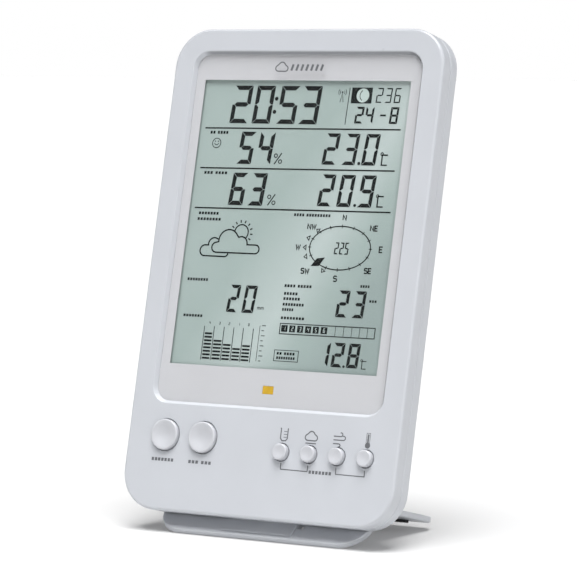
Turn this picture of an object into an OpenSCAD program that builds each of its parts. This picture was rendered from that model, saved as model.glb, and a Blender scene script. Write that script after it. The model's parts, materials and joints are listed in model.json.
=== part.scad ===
// Desktop display console of a wireless weather station, leaning back on its plug-in table stand.
// Millimetres. The row origin lies on the table, centred under the whole object's box. The
// console faces -Y. Inside the modules the console lies flat on its back: x runs across the
// face, y up the face from its bottom edge, and depth t runs into the body, so z = -t.

/* [Console] */
// Width of the face
console_w = 120; // [118:1:126]
// Height of the face
console_h = 190; // [188:1:200]
// Radius of the corners of the face
corner_r = 15; // [12:0.5:16]
// Depth of the upright side walls
side_depth = 12.2; // [12:0.1:13]
// Depth over the raised back
total_depth = 26; // [25.6:0.1:28]
// Wall thickness of both covers
wall = 2; // [1.8:0.1:2.2]
// Rounding of the face's outer edge
edge_r = 1.2; // [1:0.1:2]
// How far the face leans back from upright, in degrees
lean = 13.5; // [10:0.5:18]

/* [Window] */
// Half width of the window's opening at the face
window_half = 51.2; // [50.5:0.1:51.6]
// Bottom edge of the window's opening, above the face's bottom edge
window_bottom = 41.6; // [41:0.1:43]
// Top edge of the window's opening
window_top = 181.1; // [180:0.1:182]
// Width of the sloping wall round the window
window_slope = 1.0; // [0.5:0.1:1.4]
// Depth of the window panel's front surface
panel_t = 1.6; // [1:0.1:2]
// Half width of the display's visible area
view_half = 46; // [44:0.1:46.5]
// Bottom edge of the visible area
view_bottom = 57.4; // [56:0.1:60]
// Top edge of the visible area
view_top = 170.0; // [165:0.1:171]

/* [Keys] */
// Radius of the two large front keys
large_key_r = 6; // [5.5:0.1:6.4]
// Height of the large keys' centres
large_key_h = 29.2; // [28:0.1:30]
// Radius of the four small front keys
small_key_r = 3.2; // [2.8:0.1:3.5]
// Height of the small keys' centres
small_key_h = 26; // [25:0.1:27]
// How far the large keys stand proud of the face
large_key_proud = 1.5; // [1:0.1:1.8]
// How far the small keys stand proud of the face
small_key_proud = 2; // [1:0.1:2.2]
// Radius of the keys on the back
rear_key_r = 3.2; // [2.5:0.1:3.5]
// Travel of every key
key_travel = 0.8; // [0.3:0.1:0.8]
// Gap between a key and the edge of its hole
key_gap = 0.3; // [0.25:0.05:0.4]

/* [Batteries] */
// Radius of one AA cell
cell_r = 7.25; // [7.1:0.05:7.25]
// Length of one AA cell
cell_length = 50.5; // [49.5:0.1:50.5]
// Bottom wall of the battery bay, above the face's bottom edge
bay_bottom = 53; // [52.5:0.1:53.5]

/* [Stand] */
// Half width of the stand
stand_half = 45.9; // [42:0.1:46.2]
// Thickness of the stand's bent plate
stand_plate = 2.4; // [2:0.1:2.8]
// Corner radius of the front lip
lip_r = 11.3; // [6:0.1:14]
// Corner radius of the rear edge
rear_r = 6; // [3:0.5:10]
// Depth of the stand's rear edge behind the face
stand_t = 62.4; // [58:0.1:64]
// Radius of the wall-hanging keyholes
keyhole_r = 4; // [3.5:0.1:4.5]

/* [Hidden] */
$fn = 64;

white = [0.85, 0.86, 0.88];
board_green = [0.10, 0.35, 0.20];
dark = [0.12, 0.12, 0.13];
metal = [0.75, 0.75, 0.76];

half_w = console_w / 2;
split_t = 6;
groove = 0.3;
back_edge_r = 1.5;
eps = 0.1;

// Window stack, front to back
panel_half = window_half - window_slope;
panel_bottom = window_bottom + window_slope;
panel_top = window_top - window_slope;
window_r = 7;
panel_thick = 1.2;
mask_t = panel_t + panel_thick;
mask_thick = 0.1;
ledge_back_t = 4;
glass_half = 48;
glass_bottom = 53;
glass_top = 174;
glass_t = mask_t + mask_thick;
glass_thick = 2.2;
guide_t = 5.2;
frame_t = 4.1;
frame_back_t = 8.2;
frame_half = 51.5;
frame_bottom = 51.4;
frame_top = 177;
frame_gap = 0.3;
led_x = -0.3;
led_h = 49.3;
led_half_w = 2.45;
led_half_h = 1.6;

// Boards
board_thick = 1.6;
main_t = 8.4;
main_bottom = 116;
main_top = 176;
main_half = 51.4;
keyboard_t = 8;
keyboard_bottom = 17.4;
keyboard_top = 40;
keyboard_half = 53;
rear_board_t = 18.4;
rear_board_bottom = 116;
rear_board_top = 148;
rear_board_half = 36;

// Raised back: a rounded plateau with 45 degree shoulders
bulge_inset = 3;
bulge_r = 15;
seat_half = 47.3;
seat_line = side_depth - bulge_inset;
bulge_low = bulge_inset;
bulge_high = console_h - bulge_inset;
back_in_t = total_depth - wall;

// Keys: name order is left to right
large_key_x = [-42.6, -25.5];
small_key_x = [9.9, 22.1, 34.3, 46.5];
key_flange = 1;
key_stop_t = wall + 0.1;
key_foot_t = wall + 0.9;
plunger_t = key_foot_t + key_travel + 0.1;
rear_key_x = [-26, -13, 0, 13, 26];
rear_key_h = 140;
rear_proud = 0.8;
rear_plunger_t = back_in_t - 0.9 - key_travel - 0.1;
reset_x = -13;
reset_h = 125;
reset_r = 1.5;
reset_sunk = 0.6;
slider_x = 13;
slider_h = 125;
slider_travel = 2.5;
slider_half_w = 2.2;
slider_half_h = 1.5;
light_key_half = 13;
light_key_t = [7.3, 9.7];

// Battery bay and door
cell_gap = 0.3;
cell_pitch = 2 * cell_r + cell_gap;
bay_half = cell_pitch + cell_r + 0.45;
bay_wall = 1.2;
bay_floor_t = 9.4;
spring_length = 4.7;
bay_length = cell_length + spring_length + 0.6;
bay_low = bay_bottom + bay_wall;
bay_high = bay_low + bay_length;
cell_t = bay_floor_t + 0.1 + cell_r;
cell_low = bay_low + spring_length;
flipped_low = bay_high - spring_length - cell_length;
door_gap = 0.25;
door_half = 27;
door_low = bay_bottom - 2;
door_high = bay_high + 3.2;
door_t = back_in_t + 0.2;
ledge_t = back_in_t + 0.1;
tab_x = [-14, 14];
tab_half = 4;
latch_half = 5.2;
latch_length = 2.6;

// Screws: cover screws at [x, h], frame screws at [x, h], board screws at [x, h]
cover_screw_at = [[53.4, 14], [55.1, 100], [48, 183]];
frame_screw_at = [[54.6, 70], [54.6, 150]];
main_screw_at = [[49.9, 121], [49.9, 170]];
key_screw_at = [[-52.5, 36], [-8, 22], [-8, 36], [53, 36.5]];
rear_screw_at = [[-33, 120], [33, 120], [-33, 144], [33, 144]];
cover_tube_r = 3.4;
cover_well_r = 2.6;
screw_head_r = 2.3;

// Stand: a plate square to the face's back, with a lip bent down 45 degrees in front
plate_low = 8;
plate_high = plate_low + stand_plate;
lip_h = -7.93;
lip_t = 5.6;
lip_line = lip_t - lip_h;
lip_skin = stand_plate * sqrt(2);
saddle_half = 15.5;
pad_low = -5;
pad_high = 4;
pad_sunk = 1.3;
tongue_half = 13.5;
tongue_t = [7, 9.6];
tongue_low = -2.4;
tongue_top = 12;
tongue_gap = 0.15;
strip_half = 38.2;
strip_t = [51.3, 54.3];
strip_low = 6.9;
strip_top = 9;
foot_x = [12, 27];
foot_t = [50.5, 55.5];
floor_flat = 0.15;

// Row frame: height of the face's bottom edge above the table, and its place along Y
base_z = lip_t * sin(lean) - lip_h * cos(lean) - floor_flat;
front_y = edge_r * (cos(lean) + sin(lean) - 1);
back_top_h = bulge_high - (total_depth - side_depth);
back_y = total_depth * cos(lean) + back_top_h * sin(lean);
base_y = -(front_y + back_y) / 2;

// ---- helpers, all in the flat-lying console frame ----

module place_console() translate([0, base_y, base_z]) rotate([90 - lean, 0, 0]) children();

module disc(x, h, r, t0, t1) translate([x, h, -t1]) cylinder(r = r, h = t1 - t0);

module block(x0, x1, h0, h1, t0, t1) translate([x0, h0, -t1]) cube([x1 - x0, h1 - h0, t1 - t0]);

// A prism across the console: points are [h, t]
module across(x0, x1, points)
  translate([x0, 0, 0]) rotate([90, 0, 90]) linear_extrude(x1 - x0)
    polygon([for (p = points) [p[0], -p[1]]]);

function arc(cx, cy, r, a0, a1, n) =
  [for (i = [0 : n]) let (a = a0 + (a1 - a0) * i / n) [cx + r * cos(a), cy + r * sin(a)]];

// A profile [distance out from the corner centres, z] carried round a rounded rectangle
module swept(x0, h0, x1, h1, r, profile) {
  corners = [[x1 - r, h1 - r], [x0 + r, h1 - r], [x0 + r, h0 + r], [x1 - r, h0 + r]];
  lengths = [h1 - h0 - 2 * r, x1 - x0 - 2 * r, h1 - h0 - 2 * r, x1 - x0 - 2 * r];
  on_axis = [for (p = profile) if (p[0] == 0) p[1]];
  for (k = [0 : 3]) translate([corners[k][0], corners[k][1], 0]) rotate([0, 0, 90 * k]) {
    rotate_extrude(angle = 90) polygon(profile);
    rotate([90, 0, 0]) linear_extrude(lengths[k]) polygon(profile);
  }
  translate([x0 + r, h0 + r, min(on_axis)])
    cube([x1 - x0 - 2 * r, h1 - h0 - 2 * r, max(on_axis) - min(on_axis)]);
}

module both_sides() { children(); mirror([1, 0, 0]) children(); }

module screw(x, h, t_head, head_r, head_thick, shank_r, length) {
  translate([x, h, 0]) difference() {
    union() {
      disc(0, 0, head_r, t_head - head_thick, t_head);
      disc(0, 0, shank_r, t_head - head_thick - length, t_head - head_thick);
    }
    for (a = [0, 90]) rotate([0, 0, a]) block(-head_r * 0.6, head_r * 0.6, -0.3, 0.3,
      t_head - 0.7, t_head + eps);
  }
}

// ---- covers ----

module front_cover() {
  profile = concat([[0, 0]], arc(corner_r - edge_r, -edge_r, edge_r, 90, 0, 6),
    [[corner_r, groove - split_t], [corner_r - groove, -split_t], [corner_r - wall, -split_t],
     [corner_r - wall, -wall], [0, -wall]]);
  plug = [[0, eps], [window_r + window_slope * eps / panel_t, eps],
    [window_r - window_slope, -panel_t], [window_r - window_slope, -glass_t], [0, -glass_t]];
  color(white) place_console() difference() {
    union() {
      swept(-half_w, 0, half_w, console_h, corner_r, profile);
      block(-window_half - 1, window_half + 1, window_bottom - 1, window_top + 1,
        wall / 2, ledge_back_t);
      both_sides() for (p = cover_screw_at) disc(p[0], p[1], 2.7, wall / 2, split_t - eps);
      both_sides() for (p = frame_screw_at) disc(p[0], p[1], 2.6, wall / 2, 5);
      for (p = key_screw_at) disc(p[0], p[1], 2.4, wall / 2, keyboard_t);
    }
    swept(-window_half, window_bottom, window_half, window_top, window_r, plug);
    block(-glass_half - frame_gap, glass_half + frame_gap, glass_bottom - frame_gap,
      glass_top + frame_gap, mask_t - eps, ledge_back_t + eps);
    block(led_x - led_half_w - frame_gap, led_x + led_half_w + frame_gap, led_h - led_half_h - frame_gap,
      led_h + led_half_h + frame_gap, mask_t - eps, ledge_back_t + eps);
    for (x = large_key_x) disc(x, large_key_h, large_key_r + key_gap, -eps, wall + eps);
    for (x = small_key_x) disc(x, small_key_h, small_key_r + key_gap, -eps, wall + eps);
    both_sides() for (p = cover_screw_at) disc(p[0], p[1], 1.05, wall, split_t);
    both_sides() for (p = frame_screw_at) disc(p[0], p[1], 0.95, wall, split_t);
    for (p = key_screw_at) disc(p[0], p[1], 0.85, wall + 1, keyboard_t + eps);
  }
}

module back_outside() {
  rim = concat([[0, -split_t], [corner_r - groove, -split_t], [corner_r, -split_t - groove]],
    arc(corner_r - back_edge_r, back_edge_r - side_depth, back_edge_r, 0, -90, 4),
    [[0, -side_depth]]);
  bulge = [[0, 1 - side_depth], [bulge_r, 1 - side_depth], [bulge_r, -side_depth],
    [bulge_r + side_depth - total_depth, -total_depth], [0, -total_depth]];
  difference() {
    swept(-half_w, 0, half_w, console_h, corner_r, rim);
    across(-seat_half, seat_half, [[-1, seat_line - 1], [5, seat_line + 5], [-1, seat_line + 5]]);
  }
  swept(bulge_inset - half_w, bulge_low, half_w - bulge_inset, bulge_high, bulge_r, bulge);
}

module back_inside() {
  skin = wall * sqrt(2);
  floor_t = side_depth - wall;
  rim = [[0, 1 - split_t], [corner_r - wall, 1 - split_t], [corner_r - wall, -floor_t],
    [0, -floor_t]];
  bulge = [[0, eps - floor_t], [bulge_r - skin + wall + eps, eps - floor_t],
    [bulge_r - skin + side_depth - back_in_t, -back_in_t], [0, -back_in_t]];
  difference() {
    swept(-half_w, 0, half_w, console_h, corner_r, rim);
    across(-seat_half - wall, seat_half + wall,
      [[-1, seat_line - skin - 1], [6, seat_line - skin + 6], [-1, seat_line - skin + 6]]);
  }
  swept(bulge_inset - half_w, bulge_low, half_w - bulge_inset, bulge_high, bulge_r, bulge);
}

// What stays solid inside the back cover
module back_ribs() {
  both_sides() for (p = cover_screw_at) disc(p[0], p[1], cover_tube_r, split_t + eps, total_depth);
  block(-bay_half - bay_wall, bay_half + bay_wall, bay_low - bay_wall, bay_high + bay_wall,
    bay_floor_t - 1, total_depth);
  block(-door_half - 2, door_half + 2, door_low - 4, door_high + 6, ledge_t - 1.5, total_depth);
  block(-tongue_half - 2, tongue_half + 2, 0, tongue_top + 2, split_t + eps, 11.2);
  for (p = rear_screw_at) disc(p[0], p[1], 2.2, rear_board_t + board_thick, total_depth);
}

module back_openings() {
  both_sides() for (p = cover_screw_at) {
    disc(p[0], p[1], 1.4, split_t - eps, total_depth);
    disc(p[0], p[1], cover_well_r, 9, total_depth + eps);
  }
  block(-bay_half, bay_half, bay_low, bay_high, bay_floor_t, total_depth + eps);
  block(-door_half - door_gap, door_half + door_gap, door_low - door_gap, door_high + door_gap,
    ledge_t, total_depth + eps);
  block(-latch_half - door_gap, latch_half + door_gap, door_high - 1,
    door_high + latch_length + door_gap, ledge_t, total_depth + eps);
  for (x = tab_x) block(x - tab_half - 0.5, x + tab_half + 0.5, door_low - 2.8, bay_low + 0.8,
    ledge_t - 2.4, ledge_t + 0.05);
  block(-tongue_half - tongue_gap, tongue_half + tongue_gap, -1, tongue_top + 0.3,
    tongue_t[0] - tongue_gap, tongue_t[1] + tongue_gap);
  block(-light_key_half - key_gap, light_key_half + key_gap, console_h - wall - eps,
    console_h + eps, light_key_t[0] - key_gap, light_key_t[1] + key_gap);
  for (x = rear_key_x) disc(x, rear_key_h, rear_key_r + key_gap, back_in_t - eps, total_depth + eps);
  disc(reset_x, reset_h, reset_r + key_gap, back_in_t - eps, total_depth + eps);
  block(slider_x - slider_half_w - 0.3, slider_x + slider_half_w + slider_travel + 0.3,
    slider_h - slider_half_h - 0.3, slider_h + slider_half_h + 0.3, back_in_t - eps,
    total_depth + eps);
  for (s = [-1, 1]) {
    disc(s * 32, 161, keyhole_r, back_in_t - eps, total_depth + eps);
    block(s * 32 - 2.1, s * 32 + 2.1, 161, 168, back_in_t - eps, total_depth + eps);
    disc(s * 32, 168, 2.1, back_in_t - eps, total_depth + eps);
  }
  for (a = [0 : 60 : 300]) disc(-35.5 + 3 * cos(a), 80 + 3 * sin(a), 0.7, back_in_t - eps,
    total_depth + eps);
  for (i = [0 : 4]) block(31, 40, 60 + 4 * i, 61.6 + 4 * i, back_in_t - eps, total_depth + eps);
}

module back_cover() {
  color(white) place_console() difference() {
    back_outside();
    difference() { back_inside(); back_ribs(); }
    back_openings();
    for (p = rear_screw_at) disc(p[0], p[1], 0.85, rear_board_t + board_thick - eps, back_in_t);
  }
}

// ---- display ----

module display_window() {
  r = window_r - window_slope - eps;
  profile = [[0, -panel_t], [r, -panel_t], [r, -mask_t], [0, -mask_t]];
  color([0.93, 0.95, 0.96]) place_console()
    swept(-panel_half + eps, panel_bottom + eps, panel_half - eps, panel_top - eps, r, profile);
}

module window_mask() {
  r = 5;
  back_t = mask_t + mask_thick;
  profile = [[0, -mask_t], [r, -mask_t], [r, -back_t], [0, -back_t]];
  color(white) place_console() difference() {
    swept(-panel_half + 1, panel_bottom + 1, panel_half - 1, panel_top - 1, r, profile);
    block(-view_half, view_half, view_bottom, view_top, mask_t - eps, back_t + eps);
    block(led_x - led_half_w, led_x + led_half_w, led_h - led_half_h, led_h + led_half_h,
      mask_t - eps, back_t + eps);
  }
}

module alert_lens() {
  color([0.85, 0.65, 0.15]) place_console()
    block(led_x - led_half_w, led_x + led_half_w, led_h - led_half_h, led_h + led_half_h, glass_t, 6);
}

module alert_led() {
  color([0.95, 0.9, 0.7]) place_console() {
    block(led_x - 1.6, led_x + 1.6, led_h - 1.4, led_h + 1.4, 7.1, keyboard_t);
    disc(led_x, led_h, 1.2, 6.2, 7.1);
  }
}

module lcd_glass() {
  color([0.70, 0.76, 0.74]) place_console()
    block(-glass_half, glass_half, glass_bottom, glass_top, glass_t, glass_t + glass_thick);
}

module lcd_frame() {
  color([0.9, 0.9, 0.88]) place_console() difference() {
    union() {
      block(-frame_half, frame_half, frame_bottom, frame_top, frame_t, frame_back_t);
      both_sides() for (p = frame_screw_at)
        block(frame_half - 1, 57.4, p[1] - 3, p[1] + 3, 5.1, 6.6);
    }
    block(-glass_half - frame_gap, glass_half + frame_gap, glass_bottom - frame_gap,
      glass_top + frame_gap, frame_t - eps, 7.5);
    block(-44.4, 44.4, 169.9, 173.1, 7, frame_back_t + eps);
    both_sides() for (p = frame_screw_at) disc(p[0], p[1], 1.1, 5, 7);
    both_sides() for (p = main_screw_at) disc(p[0], p[1], 0.85, 5, frame_back_t + eps);
  }
}

module light_guide() {
  color([0.9, 0.95, 0.9]) place_console()
    block(-46.5, 46.5, 53.6, 168.6, guide_t, guide_t + 2.2);
}

module contact_strip() {
  color([0.8, 0.55, 0.6]) place_console()
    block(-44, 44, 170.2, 172.8, glass_t + glass_thick, main_t);
}

module frame_screws() {
  color(metal) place_console() both_sides() for (p = frame_screw_at)
    screw(p[0], p[1], 8, 2, 1.3, 0.9, 4);
}

// ---- electronics ----

module main_board() {
  color(board_green) place_console() difference() {
    union() {
      block(-main_half, main_half, main_bottom, main_top, main_t, main_t + board_thick);
      block(-8, 8, main_top - 1, 184.4, main_t, main_t + board_thick);
    }
    both_sides() for (p = main_screw_at) disc(p[0], p[1], 1, main_t - eps, main_t + board_thick + eps);
  }
}

module driver_chip() {
  color(dark) place_console() {
    translate([-2, 145, -main_t - board_thick]) rotate([180, 0, 0])
      rotate_extrude() polygon([[0, 0], [8, 0], [7.6, 0.5], [6, 1.1], [3.5, 1.5], [0, 1.6]]);
    block(10, 17, 140, 148, main_t + board_thick, main_t + board_thick + 1.2);
    block(-30, -22, 158, 161, main_t + board_thick, main_t + board_thick + 1.5);
  }
}

module key_board() {
  back = keyboard_t + board_thick;
  color(board_green) place_console() difference() {
    union() {
      block(-keyboard_half, keyboard_half + 2, keyboard_bottom, keyboard_top, keyboard_t, back);
      block(-8, 8, keyboard_top - 1, frame_bottom, keyboard_t, back);
      block(-keyboard_half - 2, -keyboard_half + 1, 30, keyboard_top, keyboard_t, back);
    }
    for (p = key_screw_at) disc(p[0], p[1], 1, keyboard_t - eps, back + eps);
  }
}

// A tact switch: square can with a round plunger towards the front (side = -1) or back (side = 1)
module tact(x, h, t_board, t_plunger, side) {
  can_t = t_plunger - side * 0.5;
  block(x - 3, x + 3, h - 3, h + 3, min(t_board, can_t), max(t_board, can_t));
  disc(x, h, 1.7, min(t_plunger, can_t), max(t_plunger, can_t));
}

module front_switches() {
  color(dark) place_console() {
    for (x = large_key_x) tact(x, large_key_h, keyboard_t, plunger_t, -1);
    for (x = small_key_x) tact(x, small_key_h, keyboard_t, plunger_t, -1);
  }
}

module key_ribbon() {
  back = keyboard_t + board_thick + 0.02;
  high = main_t + board_thick + 0.02;
  color([0.85, 0.85, 0.8]) place_console()
    across(31.5, 41.5, [[30, back], [bay_bottom - 12, back], [bay_bottom, high], [126, high],
      [126, high + 0.3], [bay_bottom, high + 0.3], [bay_bottom - 12, back + 0.3],
      [30, back + 0.3]]);
}

module rear_board() {
  color(board_green) place_console() difference() {
    block(-rear_board_half, rear_board_half, rear_board_bottom, rear_board_top, rear_board_t,
      rear_board_t + board_thick);
    for (p = rear_screw_at) disc(p[0], p[1], 1, rear_board_t - eps, rear_board_t + board_thick + eps);
  }
}

module rear_switches() {
  back = rear_board_t + board_thick;
  color(dark) place_console() {
    for (x = rear_key_x) tact(x, rear_key_h, back, rear_plunger_t, 1);
    tact(reset_x, reset_h, back, rear_plunger_t, 1);
    block(slider_x - 4.5, slider_x + 4.5 + slider_travel, slider_h - 2.2, slider_h + 2.2, back,
      22.1);
  }
}

module rear_ribbon() {
  low = main_t + board_thick;
  color([0.85, 0.85, 0.8]) place_console()
    across(-20, -12, [[151, low], [156, low], [156, low + 0.3], [151.3, low + 0.3],
      [151.3, rear_board_t], [144, rear_board_t], [144, rear_board_t - 0.3],
      [151, rear_board_t - 0.3]]);
}

module receiver_module() {
  low = main_t + board_thick;
  color([0.15, 0.3, 0.5]) place_console() {
    block(20, 44, 152, 166, low + 0.8, low + 1.8);
    block(22, 34, 154, 164, low + 1.8, low + 3.8);
    for (i = [0 : 5]) block(23 + 3 * i, 23.7 + 3 * i, 152.4, 153.1, low, low + 0.8);
  }
}

module antenna_wire() {
  t = main_t + board_thick + 2.6;
  color([0.75, 0.15, 0.1]) place_console() {
    translate([42, 160, -t]) rotate([-90, 0, 0]) cylinder(r = 0.7, h = 12);
    translate([42, 172, -t]) sphere(r = 0.7);
    translate([-20, 172, -t]) rotate([0, 90, 0]) cylinder(r = 0.7, h = 62);
  }
}

module buzzer() {
  color(dark) place_console() difference() {
    disc(-35.5, 80, 6, 15.5, back_in_t);
    disc(-35.5, 80, 1.2, back_in_t - 1, back_in_t + eps);
  }
}

module climate_sensor() {
  color(board_green) place_console() {
    block(31, 40, 58, 80, 19.4, 20.4);
    block(33.5, 37.5, 66, 71, 20.4, 22.8);
  }
}

module light_switch() {
  color(dark) place_console() {
    block(-3, 3, 178.2, 184.4, main_t - 2.4, main_t);
    block(-1.2, 1.2, 184.4, 185.6, 6.8, 8);
  }
}

module board_screws() {
  color(metal) place_console() {
    both_sides() for (p = main_screw_at)
      screw(p[0], p[1], main_t + board_thick + 1.2, 1.5, 1.2, 0.8, 4.4);
    for (p = key_screw_at) screw(p[0], p[1], keyboard_t + board_thick + 1.2, 1.6, 1.2, 0.8, 5.5);
    for (p = rear_screw_at) translate([0, 0, -2 * rear_board_t]) mirror([0, 0, 1])
      screw(p[0], p[1], rear_board_t + 1.2, 1.6, 1.2, 0.8, 4.5);
  }
}

// ---- batteries ----

module cell(x, flip) {
  low = flip ? flipped_low : cell_low;
  translate([x, low + cell_length / 2, -cell_t]) rotate([flip ? 90 : -90, 0, 0])
    rotate_extrude() polygon([[0, -cell_length / 2], [6.4, -cell_length / 2],
      [cell_r, 0.6 - cell_length / 2], [cell_r, cell_length / 2 - 2.2],
      [6.6, cell_length / 2 - 1.4], [2.75, cell_length / 2 - 1.4], [2.75, cell_length / 2],
      [0, cell_length / 2]]);
}

module battery_left() color([0.2, 0.3, 0.5]) place_console() cell(-cell_pitch, false);
module battery_middle() color([0.2, 0.3, 0.5]) place_console() cell(0, true);
module battery_right() color([0.2, 0.3, 0.5]) place_console() cell(cell_pitch, false);

// Rings of a conical spring, from its plate towards the cell
module spring(x, h, way) {
  rings = 5;
  for (i = [0 : rings - 1]) translate([x, h + way * (0.9 + 0.82 * i), -cell_t])
    rotate([90, 0, 0]) rotate_extrude() translate([5.2 - 0.5 * i, 0]) circle(r = 0.41, $fn = 16);
}

module battery_contacts() {
  color(metal) place_console() {
    for (x = [-cell_pitch, 0, cell_pitch]) for (h = [bay_low, bay_high - 0.4])
      block(x - 6.6, x + 6.6, h, h + 0.4, bay_floor_t + 1, ledge_t - 1.5);
    for (x = [-cell_pitch, cell_pitch]) spring(x, bay_low, 1);
    spring(0, bay_high, -1);
  }
}

module battery_door() {
  color(white) place_console() difference() {
    union() {
      block(-door_half, door_half, door_low, door_high, door_t, total_depth);
      block(-latch_half, latch_half, door_high - 1, door_high + latch_length, door_t, total_depth);
      for (x = tab_x) {
        block(x - tab_half, x + tab_half, door_low, door_low + 2, ledge_t - 1.4, door_t);
        block(x - tab_half, x + tab_half, door_low - 2.3, door_low, ledge_t - 1.4, back_in_t - 0.1);
      }
    }
    for (i = [0 : 4]) block(-9, 9, door_high - 4 - 2 * i, door_high - 3.2 - 2 * i,
      total_depth - 0.4, total_depth + eps);
    block(-latch_half + 1.2, latch_half - 1.2, door_high + 0.8, door_high + 1.6,
      total_depth - 0.5, total_depth + eps);
  }
}

module cover_screws() {
  color(metal) place_console() both_sides() for (p = cover_screw_at)
    screw(p[0], p[1], 10.8, screw_head_r, 1.8, 1, 6);
}

// ---- keys ----

// A round key through a cover: the cap's top at t_top, its retaining flange behind the wall
module round_key(x, h, r, t_top, t_flange, t_foot) {
  way = t_foot > t_top ? 1 : -1;
  cap = abs(t_flange - t_top);
  foot = abs(t_foot - t_top);
  translate([x, h, -t_top]) mirror([0, 0, way > 0 ? 0 : 1]) difference() {
    rotate_extrude() polygon([[0, 0], [r - 0.5, 0], [r - 0.15, -0.15], [r, -0.5], [r, -cap],
      [r + key_flange, -cap], [r + key_flange, -foot], [0, -foot]]);
    translate([0, 0, r * 2.6 - r * 0.07]) sphere(r = r * 2.6);
  }
}

module large_key(i) color(white) place_console()
  round_key(large_key_x[i], large_key_h, large_key_r, -large_key_proud, key_stop_t, key_foot_t);
module small_key(i) color(white) place_console()
  round_key(small_key_x[i], small_key_h, small_key_r, -small_key_proud, key_stop_t, key_foot_t);
module rear_key(i) color([0.3, 0.3, 0.32]) place_console()
  round_key(rear_key_x[i], rear_key_h, rear_key_r, total_depth + rear_proud, back_in_t - 0.1,
    back_in_t - 0.9);

module history_key() large_key(0);
module max_min_key() large_key(1);
module rainfall_key() small_key(0);
module forecast_key() small_key(1);
module wind_key() small_key(2);
module index_key() small_key(3);
module clock_key() rear_key(0);
module alarm_key() rear_key(1);
module alert_key() rear_key(2);
module down_key() rear_key(3);
module up_key() rear_key(4);

module reset_key() color([0.3, 0.3, 0.32]) place_console() {
  disc(reset_x, reset_h, reset_r, back_in_t - 0.5, total_depth - reset_sunk);
  disc(reset_x, reset_h, reset_r + key_flange, back_in_t - 0.9, back_in_t - 0.1);
}

module light_key() color(white) place_console() {
  block(-light_key_half, light_key_half, 187, console_h, light_key_t[0], light_key_t[1]);
  block(-light_key_half - 1, light_key_half + 1, 186.8, 187.8, 6.7, 10.1);
}

module unit_switch() color(dark) place_console() {
  block(slider_x - slider_half_w, slider_x + slider_half_w, slider_h - slider_half_h,
    slider_h + slider_half_h, 22.4, total_depth + 0.4);
}

// ---- stand ----

// Trims one front corner of the lip, in the lip's own plane
module lip_corner() {
  translate([stand_half - lip_r, lip_h, -lip_t]) rotate([-45, 0, 0])
    difference() {
      translate([0, -1, -3]) cube([lip_r + 1, lip_r + 1, stand_plate + 6]);
      translate([0, lip_r, -4]) cylinder(r = lip_r, h = stand_plate + 8);
    }
}

module rear_corner() {
  translate([stand_half - rear_r, plate_low - 1, rear_r - stand_t]) rotate([-90, 0, 0])
    difference() {
      cube([rear_r + 1, rear_r + 1, stand_plate + 2]);
      translate([0, 0, -1]) cylinder(r = rear_r, h = stand_plate + 4);
    }
}

module table_stand() {
  bend_low = lip_line + plate_low;
  bend_high = lip_line - lip_skin + plate_high;
  skin = stand_plate / sqrt(2);
  color(white) difference() {
    union() {
      place_console() {
        difference() {
          across(-stand_half, stand_half, [[lip_h, lip_t], [plate_low, bend_low],
            [plate_low, stand_t], [plate_high, stand_t], [plate_high, bend_high],
            [lip_h + skin, lip_t - skin]]);
          both_sides() lip_corner();
          both_sides() rear_corner();
          translate([saddle_half + 0.1, -1.7, -8.4]) rotate([-45, 0, 0])
            translate([0, 0, -4]) cube([2.8, 4, 8]);
          block(-strip_half - 0.1, strip_half + 0.1, 0, strip_top, strip_t[0] - 0.1,
            strip_t[1] + 0.1);
        }
        across(-saddle_half, saddle_half, [for (p = [[pad_low, 0], [pad_high, 0],
          [pad_high, pad_sunk], [pad_low, pad_sunk]]) [p[0], p[0] + seat_line + 0.1 + p[1]]]);
        across(-tongue_half, tongue_half, [[tongue_low, tongue_t[0]], [tongue_top - 1, tongue_t[0]],
          [tongue_top, tongue_t[0] + 0.8], [tongue_top, tongue_t[1] - 0.8],
          [tongue_top - 1, tongue_t[1]], [tongue_low, tongue_t[1]]]);
      }
    }
    below_table();
  }
}

module below_table() translate([-stand_half - 1, base_y - 10, -20]) cube([2 * stand_half + 2, 90, 20]);

// A rubber strip let into the plate's underside, with two deeper lobes that stand on the table
module stand_feet() {
  color(dark) difference() {
    place_console() {
      block(-strip_half, strip_half, strip_low, strip_top, strip_t[0], strip_t[1]);
      both_sides() block(foot_x[0], foot_x[1], 0, plate_low, foot_t[0], foot_t[1]);
    }
    below_table();
  }
}

table_stand();
stand_feet();
front_cover();
back_cover();
display_window();
window_mask();
alert_lens();
alert_led();
lcd_glass();
lcd_frame();
light_guide();
contact_strip();
frame_screws();
main_board();
driver_chip();
key_board();
front_switches();
key_ribbon();
rear_board();
rear_switches();
rear_ribbon();
receiver_module();
antenna_wire();
buzzer();
climate_sensor();
light_switch();
board_screws();
battery_left();
battery_middle();
battery_right();
battery_contacts();
cover_screws();
history_key();
max_min_key();
rainfall_key();
forecast_key();
wind_key();
index_key();
light_key();
clock_key();
alarm_key();
alert_key();
down_key();
up_key();
reset_key();
unit_switch();
battery_door();
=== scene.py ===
"""Looks of a wireless weather station's display console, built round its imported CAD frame.

Unless a comment says otherwise, lengths are millimetres in the console's own frame:
x across the face, h up the face from its bottom edge, t into the body from the face.
"""
import json
import math

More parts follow.
